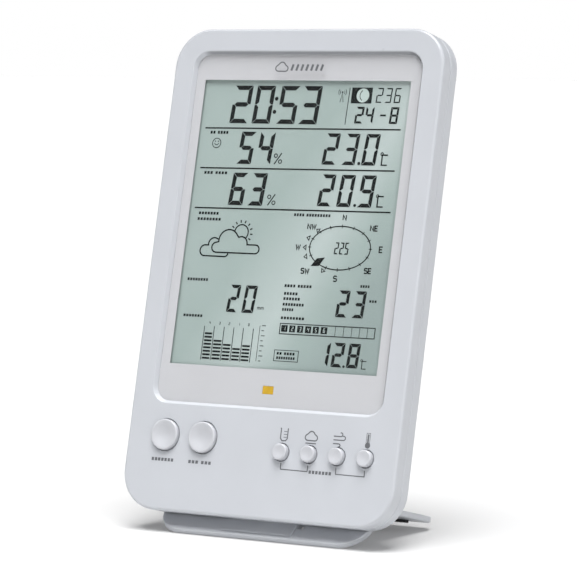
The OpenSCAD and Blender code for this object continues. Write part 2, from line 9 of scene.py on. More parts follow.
import bmesh
import bpy
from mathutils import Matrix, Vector


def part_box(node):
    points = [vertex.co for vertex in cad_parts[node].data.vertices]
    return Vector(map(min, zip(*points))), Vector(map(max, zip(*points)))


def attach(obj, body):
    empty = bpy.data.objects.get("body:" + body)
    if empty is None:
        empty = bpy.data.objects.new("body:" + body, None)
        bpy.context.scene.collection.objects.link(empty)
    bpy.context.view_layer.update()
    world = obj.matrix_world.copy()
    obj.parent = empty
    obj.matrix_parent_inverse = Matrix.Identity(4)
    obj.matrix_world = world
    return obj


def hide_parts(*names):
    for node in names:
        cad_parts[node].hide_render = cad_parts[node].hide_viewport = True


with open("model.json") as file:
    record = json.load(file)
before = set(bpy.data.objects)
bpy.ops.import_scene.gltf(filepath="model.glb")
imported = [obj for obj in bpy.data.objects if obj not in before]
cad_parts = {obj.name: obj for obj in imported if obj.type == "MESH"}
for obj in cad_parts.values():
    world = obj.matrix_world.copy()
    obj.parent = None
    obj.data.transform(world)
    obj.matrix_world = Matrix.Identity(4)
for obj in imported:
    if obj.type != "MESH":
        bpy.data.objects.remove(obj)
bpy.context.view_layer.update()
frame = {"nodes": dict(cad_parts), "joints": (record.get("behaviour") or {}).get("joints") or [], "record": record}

scene = bpy.context.scene
MM = 0.001

# ---------------- the console's frame

JOINTS = {joint["name"]: joint for joint in frame["joints"]}
ACROSS = Vector((1, 0, 0))
UP = Vector(JOINTS["console_lift"]["axis"]).normalized()
INTO = Vector(JOINTS["history_press"]["axis"]).normalized()


def reach(node, direction):
    """Least and greatest place of a CAD node's points along a direction, in metres."""
    along = [direction.dot(v.co) for v in frame["nodes"][node].data.vertices]
    return min(along), max(along)


FACE_H, FACE_TOP = reach("front_cover", UP)
FACE_T = reach("front_cover", INTO)[0]
HALF_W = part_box("front_cover")[1].x / MM
HEIGHT = (FACE_TOP - FACE_H) / MM
DEPTH = (reach("back_cover", INTO)[1] - FACE_T) / MM


def at(x, h, t):
    """A point of the console's frame, in the row frame."""
    return ACROSS * (x * MM) + UP * (FACE_H + h * MM) + INTO * (FACE_T + t * MM)


def middle(node):
    """(x, h, t) of the middle of a CAD node."""
    x = [c.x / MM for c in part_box(node)]
    h = [(c - FACE_H) / MM for c in reach(node, UP)]
    t = [(c - FACE_T) / MM for c in reach(node, INTO)]
    return sum(x) / 2, sum(h) / 2, sum(t) / 2


# ---------------- camera and stage

CAMERA_YAW, CAMERA_PITCH = math.radians(30.98), math.radians(4.60)
CAMERA_AT = Vector((0.5946, -0.9616, 0.1778))  # metres from the middle of the face's bottom edge
CAMERA_LENS = 187.8


def add_camera():
    lens = bpy.data.cameras.new("camera")
    lens.lens = CAMERA_LENS
    camera = bpy.data.objects.new("camera", lens)
    camera.location = CAMERA_AT + at(0, 0, 0)
    camera.rotation_euler = (math.pi / 2 - CAMERA_PITCH, 0, CAMERA_YAW)
    scene.collection.objects.link(camera)
    scene.camera = camera


# ---------------- materials


class Shader:
    """A node material round one Principled shader, with short names for what it needs."""

    def __init__(self, name, color, roughness, **constant):
        self.material = bpy.data.materials.new(name)
        self.material.use_nodes = True
        self.tree = self.material.node_tree
        self.surface = self.tree.nodes["Principled BSDF"]
        self.surface.inputs["Base Color"].default_value = (*color, 1)
        self.surface.inputs["Roughness"].default_value = roughness
        for socket, value in constant.items():
            self.surface.inputs[socket.replace("_", " ")].default_value = value
        self.place = self.tree.nodes.new("ShaderNodeTexCoord").outputs["Object"]

    def node(self, kind, **values):
        made = self.tree.nodes.new("ShaderNode" + kind)
        for key, value in values.items():
            if hasattr(made, key):
                setattr(made, key, value)
            else:
                made.inputs[key].default_value = value
        return made

    def link(self, out, into):
        self.tree.links.new(out, into)

    def noise(self, scale, detail=3, stretch=None):
        made = self.node("TexNoise", Scale=scale, Detail=detail)
        if stretch:
            mapping = self.node("Mapping", Scale=stretch)
            self.link(self.place, mapping.inputs["Vector"])
            self.link(mapping.outputs["Vector"], made.inputs["Vector"])
        else:
            self.link(self.place, made.inputs["Vector"])
        return made.outputs["Fac"]

    def ramp(self, out, *stops):
        made = self.node("ValToRGB")
        elements = made.color_ramp.elements
        while len(elements) < len(stops):
            elements.new(0.5)
        for element, (position, color) in zip(elements, stops):
            element.position = position
            element.color = (*color, 1) if len(color) == 3 else color
        self.link(out, made.inputs["Fac"])
        return made.outputs["Color"]

    def spread(self, out, low, high):
        made = self.node("MapRange")
        made.inputs["To Min"].default_value = low
        made.inputs["To Max"].default_value = high
        self.link(out, made.inputs["Value"])
        return made.outputs["Result"]

    def along(self, direction, start, end):
        """0 to 1 between two places in metres along a direction of the row frame."""
        dot = self.node("VectorMath", operation="DOT_PRODUCT")
        dot.inputs[1].default_value = direction
        self.link(self.place, dot.inputs[0])
        made = self.node("MapRange")
        made.inputs["From Min"].default_value = start
        made.inputs["From Max"].default_value = end
        self.link(dot.outputs["Value"], made.inputs["Value"])
        return made.outputs["Result"]

    def bump(self, out, strength, distance):
        made = self.node("Bump", Strength=strength, Distance=distance)
        self.link(out, made.inputs["Height"])
        self.link(made.outputs["Normal"], self.surface.inputs["Normal"])

    def color(self, out):
        self.link(out, self.surface.inputs["Base Color"])

    def roughness(self, out):
        self.link(out, self.surface.inputs["Roughness"])


def shade(color, factor):
    return tuple(channel * factor for channel in color)


def moulded(name, color, roughness=0.30, grain=2600, strength=0.12, **constant):
    """Moulded plastic: a fine spark-eroded grain, faint flow marks and uneven gloss."""
    look = Shader(name, color, roughness, **constant)
    look.color(look.ramp(look.noise(38), (0.35, shade(color, 0.985)), (0.65, shade(color, 1.01))))
    look.roughness(look.spread(look.noise(160), roughness - 0.05, roughness + 0.05))
    look.bump(look.noise(grain, 2), strength, 0.00004)
    return look.material


def make_materials():
    """Every look, by the name of its slot or of what it is for."""
    white = (0.50, 0.517, 0.55)
    plastics = {  # colour, roughness, grain, strength
        "white_plastic": (white,),
        "key_plastic": ((0.50, 0.51, 0.54), 0.32, 3000, 0.08),
        "mask_print": ((0.49, 0.495, 0.515), 0.30, 900, 0.02),
        "inner_plastic": ((0.80, 0.80, 0.78),),
        "diffuser": ((0.85, 0.88, 0.84), 0.25),
        "black_plastic": ((0.012, 0.012, 0.013), 0.4),
        "dark_key": ((0.045, 0.047, 0.052), 0.45),
        "foot_rubber": ((0.016, 0.016, 0.017), 0.75, 1500, 0.3),
        "led_body": ((0.75, 0.70, 0.45), 0.2),
        "antenna_wire": ((0.50, 0.05, 0.04), 0.45),
        "print_ink": ((0.12, 0.125, 0.135), 0.5, 900, 0.05),
        "lcd_pale": ((0.42, 0.50, 0.48), 0.5, 900, 0.02),
    }
    m = {name: moulded(name, *values) for name, values in plastics.items()}
    for name, color in (("lcd_ink", (0.003, 0.005, 0.005)), ("lcd_grey", (0.006, 0.009, 0.009))):
        m[name] = moulded(name, color, 0.6, 900, 0.02, Specular_IOR_Level=0.06)
    # the recess look paints shade on the window's sloping wall
    m["recess"] = painted_recess_shade_look(white)
    m["window_plastic"] = window_look()
    m["amber_lens"] = amber_look()
    m["lcd_glass"] = display_painted_reflection_look()
    m["zebra_rubber"] = striped("zebra_rubber", (0.55, 0.28, 0.32), (0.05, 0.05, 0.05), 2200)
    m["circuit_board"] = board_look()
    m["spring_steel"] = metal("spring_steel", (0.60, 0.60, 0.58), 0.28)
    m["screw_steel"] = metal("screw_steel", (0.62, 0.62, 0.63), 0.22)
    m["module_can"] = metal("module_can", (0.70, 0.70, 0.72), 0.35)
    m["cell_wrap"] = cell_look()
    m["ribbon_film"] = striped("ribbon_film", (0.75, 0.74, 0.68), (0.45, 0.44, 0.40), 1200)
    return m


def painted_recess_shade_look(color):
    """White plastic with painted shade: darkened where a narrow recess's wall faces down or left, where shadow
    falls.
    """
    look = Shader("recess", color, 0.32)
    shade_facing = look.node("VectorMath", operation="DOT_PRODUCT")
    shade_facing.inputs[1].default_value = (-0.77, 0, -0.64)
    look.link(look.node("NewGeometry").outputs["Normal"], shade_facing.inputs[0])
    # painted shade: the colour falls to 0.4 of the white as the wall turns down or left
    look.color(look.ramp(shade_facing.outputs["Value"], (0.05, color), (0.5, shade(color, 0.4))))
    return look.material


def window_look():
    """A clear panel so thin to the eye that only its reflections show."""
    look = Shader("window_plastic", (0.93, 0.95, 0.95), 0.06, Alpha=0.008, IOR=1.49,
                  Specular_IOR_Level=0.35)
    look.roughness(look.spread(look.noise(900), 0.055, 0.065))
    return look.material


def amber_look():
    look = Shader("amber_lens", (0.51, 0.31, 0.02), 0.4, IOR=1.5)
    look.color(look.ramp(look.noise(400), (0.3, (0.47, 0.29, 0.014)), (0.7, (0.55, 0.34, 0.02))))
    return look.material


def display_painted_reflection_look():
    """Reflective segment glass: grey-green, with a painted reflection as a soft paler band that runs slantwise,
    and darker towards its right end.
    """
    look = Shader("lcd_glass", (0.44, 0.52, 0.50), 0.28, IOR=1.5)
    slant = (ACROSS * 0.86 - UP * 0.5).normalized()
    start = slant.dot(at(-46, 100, 3))
    end = slant.dot(at(46, 100, 3))
    low, mid, high = (0.305, 0.375, 0.36), (0.32, 0.39, 0.375), (0.41, 0.475, 0.465)
    # the paler stop at 0.62 is the painted reflection; the last stop makes the right end darker
    look.color(look.ramp(look.along(slant, start, end), (0, mid), (0.28, low), (0.62, high),
                         (0.8, low), (1, (0.255, 0.315, 0.305))))
    look.roughness(look.spread(look.noise(900), 0.27, 0.29))
    return look.material


def striped(name, one, other, per_metre):
    """Two colours in turn across the row frame's x, as on a connector strip or a ribbon."""
    look = Shader(name, one, 0.5)
    wave = look.node("TexWave", Scale=per_metre / 6.3, bands_direction="X")
    look.link(look.place, wave.inputs["Vector"])
    look.color(look.ramp(wave.outputs["Fac"], (0.4, one), (0.6, other)))
    look.bump(wave.outputs["Fac"], 0.2, 0.00005)
    return look.material


def board_look():
    """Green solder resist over copper tracks."""
    look = Shader("circuit_board", (0.03, 0.18, 0.07), 0.3, IOR=1.5)
    tracks = look.node("TexVoronoi", Scale=260, distance="MANHATTAN")
    look.link(look.place, tracks.inputs["Vector"])
    green = look.ramp(tracks.outputs["Distance"], (0.25, (0.05, 0.26, 0.10)), (0.3, (0.02, 0.14, 0.05)))
    look.color(green)
    look.bump(tracks.outputs["Distance"], 0.15, 0.00005)
    return look.material


def metal(name, color, roughness):
    look = Shader(name, color, roughness, Metallic=1.0)
    look.roughness(look.spread(look.noise(700), roughness - 0.06, roughness + 0.08))
    look.bump(look.noise(2400), 0.1, 0.00003)
    return look.material


def cell_look():
    """A printed film: dark blue with a pale collar towards the top, in bands across the cell."""
    look = Shader("cell_wrap", (0.05, 0.14, 0.32), 0.3, IOR=1.5)
    low, high = (UP.dot(at(0, h, 0)) for h in (50, 120))
    blue, pale, steel = (0.03, 0.10, 0.26), (0.55, 0.60, 0.64), (0.45, 0.45, 0.45)
    look.color(look.ramp(look.along(UP, low, high), (0.0, steel), (0.145, steel), (0.15, blue),
                         (0.62, blue), (0.63, pale), (0.80, pale)))
    look.roughness(look.spread(look.noise(300), 0.25, 0.35))
    return look.material


# ---------------- outlines (x, h)


def sweep(start, end, steps):
    """Angles from start to end, which are in degrees, as radians."""
    return [math.radians(start + (end - start) * k / steps) for k in range(steps + 1)]


def arc(cx, cy, r, start, end, steps=8):
    return [(cx + r * math.cos(a), cy + r * math.sin(a)) for a in sweep(start, end, steps)]


def circle(cx, cy, r, steps=64):
    return arc(cx, cy, r, 0, 360 * (steps - 1) / steps, steps - 1)


def rounded(x0, h0, x1, h1, r, steps=10):
    """A rounded rectangle, anticlockwise."""
    r = max(r, 0.05)
    points = arc(x1 - r, h0 + r, r, -90, 0, steps) + arc(x1 - r, h1 - r, r, 0, 90, steps)
    return points + arc(x0 + r, h1 - r, r, 90, 180, steps) + arc(x0 + r, h0 + r, r, 180, 270, steps)


def fillet(r, steps):
    """(inset, depth) points round a convex edge of radius r, its flat at depth 0."""
    return [(r - r * math.cos(a), r - r * math.sin(a)) for a in sweep(0, 90, steps)]


# ---------------- meshes


def skin(rings, closed=False):
    """Vertices and faces through rings of equally many points, capped unless closed."""
    count = len(rings[0])
    verts = [point for ring in rings for point in ring]
    faces = []
    last = len(rings) if closed else len(rings) - 1
    for k in range(last):
        one, two = k * count, (k + 1) % len(rings) * count
        for i in range(count):
            j = (i + 1) % count
            faces.append((one + i, one + j, two + j, two + i))
    if not closed:
        faces.append(tuple(range(count - 1, -1, -1)))
        faces.append(tuple(range((len(rings) - 1) * count, len(rings) * count)))
    return verts, faces


def lift(points, t):
    return [(x, h, t) for x, h in points]


def stack(outline, profile):
    """A solid through outline(inset) at each (inset, t) of a profile."""
    return skin([lift(outline(inset), t) for inset, t in profile])


def prism(points, t0, t1):
    return skin([lift(points, t0), lift(points, t1)])


def block(x0, x1, h0, h1, t0, t1):
    return prism([(x0, h0), (x1, h0), (x1, h1), (x0, h1)], t0, t1)


def crosswise(x0, x1, points):
    """A prism across the console from (h, t) points."""
    return skin([[(x, h, t) for h, t in points] for x in (x0, x1)])


def drum(x, h, profile, steps=64):
    """A round solid about (x, h) from (radius, t) points."""
    return stack(lambda r: circle(x, h, max(r, 0.01), steps), profile)


def join(*solids):
    verts, faces = [], []
    for more_verts, more_faces in solids:
        faces += [tuple(i + len(verts) for i in face) for face in more_faces]
        verts += more_verts
    return verts, faces


def to_mesh(name, solid, place=at):
    """A mesh from (vertices, faces), its faces turned outwards."""
    verts, faces = solid
    mesh = bpy.data.meshes.new(name)
    mesh.from_pydata([place(*v) for v in verts], [], faces)
    shape = bmesh.new()
    shape.from_mesh(mesh)
    bmesh.ops.recalc_face_normals(shape, faces=shape.faces)
    shape.to_mesh(mesh)
    shape.free()
    return mesh


def add(name, solid, place=at):
    piece = bpy.data.objects.new(name, to_mesh(name, solid, place))
    scene.collection.objects.link(piece)
    return piece


def bake(piece):
    """Swaps a piece's mesh for what its modifiers make of it."""
    bpy.context.view_layer.update()
    seen = piece.evaluated_get(bpy.context.evaluated_depsgraph_get())
    mesh = bpy.data.meshes.new_from_object(seen)
    piece.modifiers.clear()
    old, piece.data = piece.data, mesh
    bpy.data.meshes.remove(old)


def combine(piece, operation, *solids, place=at):
    """Adds or cuts whole solids, all in one step so that no cut works on another's rounding."""
    whole = isinstance(solids[0], bpy.types.Object)
    other = solids[0] if whole else add("operand", join(*solids), place)
    boolean = piece.modifiers.new("boolean", "BOOLEAN")
    boolean.operation = operation
    boolean.solver = "EXACT"
    boolean.use_self = len(solids) > 1
    boolean.object = other
    bake(piece)
    bpy.data.objects.remove(other)


def polish(piece, angle=32):
    """Smooth shading with sharp edges past an angle, and normals ruled by the large faces."""
    shape = bmesh.new()
    shape.from_mesh(piece.data)
    bmesh.ops.remove_doubles(shape, verts=shape.verts, dist=2e-7)
    bmesh.ops.dissolve_degenerate(shape, edges=shape.edges, dist=2e-7)
    shape.to_mesh(piece.data)
    shape.free()
    piece.data.shade_smooth()
    piece.data.set_sharp_from_angle(angle=math.radians(angle))
    normals = piece.modifiers.new("normals", "WEIGHTED_NORMAL")
    normals.keep_sharp = True


def soften(piece, width):
    """Rounds the edges sharper than 40 degrees, as deep as width."""
    bevel = piece.modifiers.new("bevel", "BEVEL")
    bevel.width = width * MM
    bevel.segments = 3
    bevel.limit_method = "ANGLE"
    bevel.angle_limit = math.radians(40)
    bevel.use_clamp_overlap = True


def settle(piece, body, slot, *nodes, look=None):
    """Gives a piece the look of its slot or the look named, puts it on its body, and hides the CAD nodes it stands
    in for.
    """
    piece.data.materials.clear()
    piece.data.materials.append(LOOKS[look or slot])
    for face in piece.data.polygons:
        face.material_index = 0
    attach(piece, body)
    if nodes:
        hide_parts(*nodes)


LOOKS = make_materials()


def dress_nodes():
    """Every CAD node takes its slot's look; simple prismatic ones get rounded edges."""
    rounded_edges = {"battery_door": 0.3, "unit_switch": 0.25, "light_key": 0.35, "stand_feet": 0.3,
                     "lcd_frame": 0.3, "buzzer": 0.3, "receiver_module": 0.1, "reset_key": 0.15}
    for part in frame["record"]["subparts"]:
        piece = frame["nodes"][part["node"]]
        piece.data.materials.clear()
        piece.data.materials.append(LOOKS[part["material_slot"]])
        if "custom_normal" in piece.data.attributes:
            piece.data.attributes.remove(piece.data.attributes["custom_normal"])
        piece.data.shade_smooth()
        piece.data.set_sharp_from_angle(angle=math.radians(30))
        if part["node"] in rounded_edges:
            soften(piece, rounded_edges[part["node"]])


# ---------------- covers

WALL = 2.0
SPLIT_T = 6.0  # where the two covers meet
SIDE_T = 12.2  # where the back's straight skirt ends
EDGE_R = 1.2
CORNER_R = 15.0
WINDOW = (51.2, 41.6, 181.1, 7.0)  # half width, bottom, top, corner radius
GLASS_T = 2.9  # the display's own face
VIEW = (46.0, 57.3, 169.9)  # half width, bottom, top
APERTURE = (48.3, 52.7, 174.3)  # the frame behind the glass: half width, bottom, top
BORDER_T = 1.85  # the printed border's face, as it seems through the panel
LED = (2.45, 1.6)  # half width, half height
LARGE_R, SMALL_R, REAR_R = 6.0, 3.2, 3.2
LARGE_KEYS = ("history_key", "max_min_key")
SMALL_KEYS = ("rainfall_key", "forecast_key", "wind_key", "index_key")
REAR_KEYS = ("clock_key", "alarm_key", "alert_key", "down_key", "up_key")
COVER_SCREWS = ((53.4, 14), (55.1, 100), (48, 183))  # on both sides
BAY = (22.5, 54.2, 110.0, 9.4)  # half width, bottom, top, floor
BAY_WALL = 1.2
KEYHOLE_X, KEYHOLE_H = 32, 161
BACK_IN_T = 24.0  # the inside of the raised back
CUT_FROM = 23.0  # where openings in it start, clear of its wall


def face_ring(inset, t):
    """The covers' outline, moved in by inset."""
    return lift(rounded(inset - HALF_W, inset, HALF_W - inset, HEIGHT - inset, CORNER_R - inset, 12), t)


def level(x, h, t):
    """Lying flat and in millimetres, where faces meant to be coplanar are so exactly."""
    return x, h, -t


def stand_up(piece):
    """From lying flat to the row frame."""
    for vert in piece.data.vertices:
        vert.co = at(vert.co.x, vert.co.y, -vert.co.z)


def window_ring(inset, t):
    half, low, high, r = WINDOW
    return lift(rounded(inset - half, low + inset, half - inset, high - inset, r - inset, 12), t)


def aperture_ring(t):
    half, low, high = APERTURE
    return lift(rounded(-half, low, half, high, 0.05, 12), t)


def key_hole(node, r):
    """A front key's opening, 0.3 wider than its cap, with a rounded rim."""
    x, h = middle(node)[:2]
    r += 0.3
    return drum(x, h, [(r + 0.4, -1), (r + 0.3, 0), (r + 0.12, 0.06), (r + 0.03, 0.16), (r, 0.3), (r, 3)])


def make_front_shell():
    """The front cover: its outside, the window's recess, and the inside, as one closed skin."""
    outer = [face_ring(WALL, SPLIT_T), face_ring(0.3, SPLIT_T), face_ring(0.1, SPLIT_T - 0.15),
             face_ring(0, SPLIT_T - 0.4)]
    outer += [face_ring(inset, t) for inset, t in fillet(EDGE_R, 10)]
    inner = [window_ring(inset, t) for inset, t in ((-0.3, 0), (-0.14, 0.03), (-0.02, 0.11), (0.08, 0.25),
             (1.0, 1.6), (1.0, GLASS_T))]
    behind = [aperture_ring(GLASS_T), aperture_ring(4), window_ring(-1, 4), window_ring(-1, WALL),
              face_ring(WALL, WALL)]
    piece = add("front_shell", skin(outer + inner + behind, closed=True), level)
    x, h = middle("alert_lens")[:2]
    combine(piece, "DIFFERENCE", *[key_hole(node, LARGE_R) for node in LARGE_KEYS],
            *[key_hole(node, SMALL_R) for node in SMALL_KEYS],
            block(x - 2.75, x + 2.75, h - 1.9, h + 1.9, 2, 5), place=level)
    stand_up(piece)
    polish(piece)
    settle(piece, "console", "white_plastic", "front_cover")


def make_window_slope():
    """A thin lining of the recess's sloping wall, which carries painted shade where the wall faces down or left.
    """
    profile = ((0.105, 0.29), (0.98, 1.575), (1.02, 1.58), (0.4, 0.7))
    piece = add("window_slope", skin([window_ring(inset, t) for inset, t in profile], closed=True))
    polish(piece)
    # this lining's look is painted shade
    settle(piece, "console", "white_plastic", look="recess")


def make_window_pane():
    """The clear panel, its printed border where refraction makes it seem to lie, and the lens."""
    rings = [window_ring(1.25, 1.6), window_ring(1.1, 1.7), window_ring(1.1, 2.75)]
    piece = add("window_pane", skin(rings))
    polish(piece)
    settle(piece, "console", "window_plastic", "display_window")
    half, low, high = VIEW
    border = add("window_border", skin([window_ring(1.02, t) for t in (BORDER_T, BORDER_T + 0.1)]))
    x, h = middle("alert_lens")[:2]
    combine(border, "DIFFERENCE", block(-half, half, low, high, 1, 4),
            block(x - LED[0], x + LED[0], h - LED[1], h + LED[1], 1, 4))
    polish(border)
    settle(border, "console", "mask_print", "window_mask")
    lens = add("alert_window", stack(lambda i: rounded(x - LED[0] + i, h - LED[1] + i, x + LED[0] - i,
                                                       h + LED[1] - i, 0.3 - i, 4),
                                     [(0.1, BORDER_T + 0.02), (0.03, BORDER_T + 0.1), (0.03, 6)]))
    polish(lens)
    settle(lens, "console", "amber_lens", "alert_lens")


def bulge_ring(inset, t):
    """The raised back's outline, its corners easing from 15 mm to 3.5 mm as it rises."""
    r = 15 - (inset - 3) * 11.5 / 13.8
    return lift(rounded(inset - HALF_W, inset, HALF_W - inset, HEIGHT - inset, r, 14), t)


def eased(start, t0, t1, flare):
    """A cutter's profile that opens by flare at t1 and runs on past it."""
    size = abs(flare)
    return [(start, t0), (start, t1 - size), (start + flare * 0.3, t1 - size * 0.3),
            (start + flare, t1 + 0.01), (start + flare, t1 + 1)]


def flared(x0, x1, h0, h1, t0, t1, flare=0.25, r=0.3):
    """A cutter for a rectangular opening with eased rims at t1."""
    return stack(lambda i: rounded(x0 + i, h0 + i, x1 - i, h1 - i, r - i, 4), eased(0, t0, t1, -flare))


def round_cut(x, h, r, t0, t1, flare=0.25):
    return drum(x, h, eased(r, t0, t1, flare), 48)


def seat_wedge(half, line):
    """What the stand's lip takes from the console's bottom front edge: a 45 degree plane."""
    return crosswise(-half, half, [(-1, line - 1), (6, line + 6), (-1, line + 6)])


def both(x):
    return (-x, x)


def back_ribs():
    """What stays solid inside: screw tubes, the bay's walls, the door's seat, the stand's socket."""
    half, low, high, floor = BAY
    past = DEPTH + 1
    ribs = [drum(x, h, [(3.4, SPLIT_T + 0.1), (3.4, past)], 40)
            for screw_x, h in COVER_SCREWS for x in both(screw_x)]
    ribs += [block(-half - BAY_WALL, half + BAY_WALL, low - BAY_WALL, high + BAY_WALL, floor - 1, past),
             block(-29, 29, 47, 119.2, 22.6, past), block(-15.5, 15.5, -1, 14, 6.1, 11.2)]
    ribs += [drum(x, h, [(2.2, 20), (2.2, past)], 32) for x in both(33) for h in (120, 144)]
    return ribs


def back_openings():
    """Cutters for every opening in the back."""
    x0, x1, door_low, door_high = door_edges()
    half, low, high, floor = BAY
    past = DEPTH + 1
    cuts = []
    for screw_x, h in COVER_SCREWS:
        for x in both(screw_x):
            cuts.append(drum(x, h, [(1.4, 5), (1.4, 9), (2.6, 9), (2.6, past)], 40))
    # the battery bay, the seat of its door, and the notches of the door's latch and tabs
    cuts += [block(-half, half, low, high, floor, past),
             flared(x0 - 0.25, x1 + 0.25, door_low - 0.25, door_high + 0.25, 24.1, DEPTH, 0.2),
             flared(-5.45, 5.45, door_high - 1, door_high + 2.85, 24.09, DEPTH, 0.2)]
    cuts += [block(x - 4.5, x + 4.5, door_low - 2.8, 55, 21.7, 24.15) for x in both(14)]
    # the stand's socket below, the light key's slot above
    cuts.append(block(-13.65, 13.65, -1, 12.3, 6.85, 9.75))
    cuts.append(block(-13.3, 13.3, 187.9, 191, 7.0, 10.0))
    # the keys and the unit switch
    cuts += [round_cut(*middle(node)[:2], REAR_R + 0.3, CUT_FROM, DEPTH) for node in REAR_KEYS]
    cuts.append(round_cut(*middle("reset_key")[:2], 1.8, CUT_FROM, DEPTH))
    x, h = middle("unit_switch")[:2]
    cuts.append(flared(x - 2.5, x + 5.0, h - 1.8, h + 1.8, CUT_FROM, DEPTH, 0.2))
    # the keyholes for hanging: a round entry, and a slot up from it
    for x in both(KEYHOLE_X):
        cuts.append(round_cut(x, KEYHOLE_H, 4, CUT_FROM, DEPTH, 0.3))
        cuts.append(flared(x - 2.1, x + 2.1, KEYHOLE_H, KEYHOLE_H + 9.1, CUT_FROM, DEPTH, 0.3, r=2.0))
    # the buzzer's six holes and the five vents
    cuts += [round_cut(*hole, 0.7, CUT_FROM, DEPTH, 0.15) for hole in circle(-35.5, 80, 3, 6)]
    cuts += [flared(31, 40, 60 + 4 * k, 61.6 + 4 * k, CUT_FROM, DEPTH, 0.2, r=0.75) for k in range(5)]
    return cuts


def door_edges():
    """The door's plate without its tabs and latch: left, right, bottom, top."""
    low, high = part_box("battery_door")
    h0 = (reach("battery_door", UP)[0] - FACE_H) / MM
    h1 = (reach("battery_door", UP)[1] - FACE_H) / MM
    return low.x / MM, high.x / MM, h0 + 2.3, h1 - 2.6


def make_back_shell():
    """The back cover: a straight skirt, and a middle raised on 45 degree slopes; then hollowed."""
    base, top = 3.0, 16.8  # the slope's foot and head, as insets
    low_r, high_r = 1.2, 2.0  # the fillets there
    nip = 0.414  # tan 22.5 degrees, how far such a fillet moves its middle
    rings = [face_ring(1, SPLIT_T), face_ring(0.3, SPLIT_T), face_ring(0, SPLIT_T + 0.35)]
    rings += [face_ring(inset, SIDE_T - t) for inset, t in fillet(1.5, 6)]
    piece = add("back_shell", skin(rings), level)
    slope = arc(base - nip * low_r, SIDE_T + low_r, low_r, -90, -45, 6)
    slope += arc(top + nip * high_r, DEPTH - high_r, high_r, 135, 90, 8)
    bulge = skin([bulge_ring(slope[0][0], SIDE_T - 1)] + [bulge_ring(i, t) for i, t in slope])
    combine(piece, "DIFFERENCE", seat_wedge(47.3, 9.2), place=level)
    combine(piece, "UNION", bulge, place=level)
    combine(piece, "DIFFERENCE", *back_openings(), place=level)
    rim = rounded(WALL - HALF_W, WALL, HALF_W - WALL, HEIGHT - WALL, CORNER_R - WALL)
    hollow = add("hollow", prism(rim, SPLIT_T - 1, 10.2), level)
    combine(hollow, "DIFFERENCE", seat_wedge(49.3, 6.37), place=level)
    raised = stack(lambda i: rounded(i - 57, 3 + i, 57 - i, 187 - i, 15 - i),
                   [(0.73, 10.1), (14.63, BACK_IN_T)])
    combine(hollow, "UNION", raised, place=level)
    combine(hollow, "DIFFERENCE", *back_ribs(), place=level)
    combine(piece, "DIFFERENCE", hollow)
    stand_up(piece)
    polish(piece, 28)
    settle(piece, "console", "white_plastic", "back_cover")


# ---------------- keys


def key_solid(x, h, r, top, foot, dish, way):
    """A round cap with a rounded edge and a wide dish; way is 1 where it grows towards +t."""
    edge = 0.55
    profile = [(0.01, foot), (r + 0.9, foot), (r + 0.9, foot + way * 0.7), (r, foot + way * 0.7)]
    profile += [(r - edge + edge * math.cos(a), top - way * edge * (1 - math.sin(a)))
                for a in sweep(0, 90, 8)]
    crest = r - edge
    for k in range(1, 17):
        u = 1 - k / 16
        sink = dish * (1 - u * u) ** 1.5 if k < 16 else dish
        profile.append((crest * u + 0.01, top - way * sink))
    return drum(x, h, profile, 72)


def make_key(node, r, dish, slot, way=-1):
    """The cap stands where its CAD node does: front keys grow towards -t, rear keys towards +t."""
    x, h = middle(node)[:2]
    ends = [(c - FACE_T) / MM for c in reach(node, INTO)]
    foot, top = ends[::way]
    piece = add(node + "_cap", key_solid(x, h, r, top, foot, dish, way))
    polish(piece, 40)
    settle(piece, node + "_body", slot, node)


def make_keys():
    for node in LARGE_KEYS:
        make_key(node, LARGE_R, 1.1, "key_plastic")
    for node in SMALL_KEYS:
        make_key(node, SMALL_R, 0.35, "key_plastic")
    for node in REAR_KEYS:
        make_key(node, REAR_R, 0.3, "dark_key", way=1)


# ---------------- stand

LIP_START = (4.75, -7.08)  # (t, h) of the bent plate's middle line at its front edge
BEND_CENTRE = (22.69, 5.20)
BEND_R = 4.0
BEND_FROM, BEND_TO, PLATE_END = 21.37, 24.51, 64.22
PLATE_HALF, PLATE_Z = 45.9, 1.2


def flat(x, s, z):
    """The plate before it is bent, in metres: s runs from its front edge to its rear."""
    return Vector((x, s, z)) * MM


def bent(x, s, z):
    """Where a point of the flat plate goes in the row frame; all in metres."""
    x, s, z = x / MM, s / MM, z / MM
    if s < BEND_FROM:
        root = math.sqrt(0.5)
        return at(x, LIP_START[1] + root * (s + z), LIP_START[0] + root * (s - z))
    if s < BEND_TO:
        turn = math.radians(45) * (1 - (s - BEND_FROM) / (BEND_TO - BEND_FROM))
        r = BEND_R + z
        return at(x, BEND_CENTRE[1] + r * math.cos(turn), BEND_CENTRE[0] - r * math.sin(turn))
    return at(x, BEND_CENTRE[1] + BEND_R + z, BEND_CENTRE[0] + s - BEND_TO)


def plate_outline(inset):
    """(x, s) round the flat plate, with larger corners in front."""
    front, rear, half = 11.3 - inset, 6 - inset, PLATE_HALF - inset
    points = arc(half - front, inset + front, front, -90, 0, 14)
    points += arc(half - rear, PLATE_END - inset - rear, rear, 0, 90, 10)
    points += arc(rear - half, PLATE_END - inset - rear, rear, 90, 180, 10)
    return points + arc(front - half, inset + front, front, 180, 270, 14)


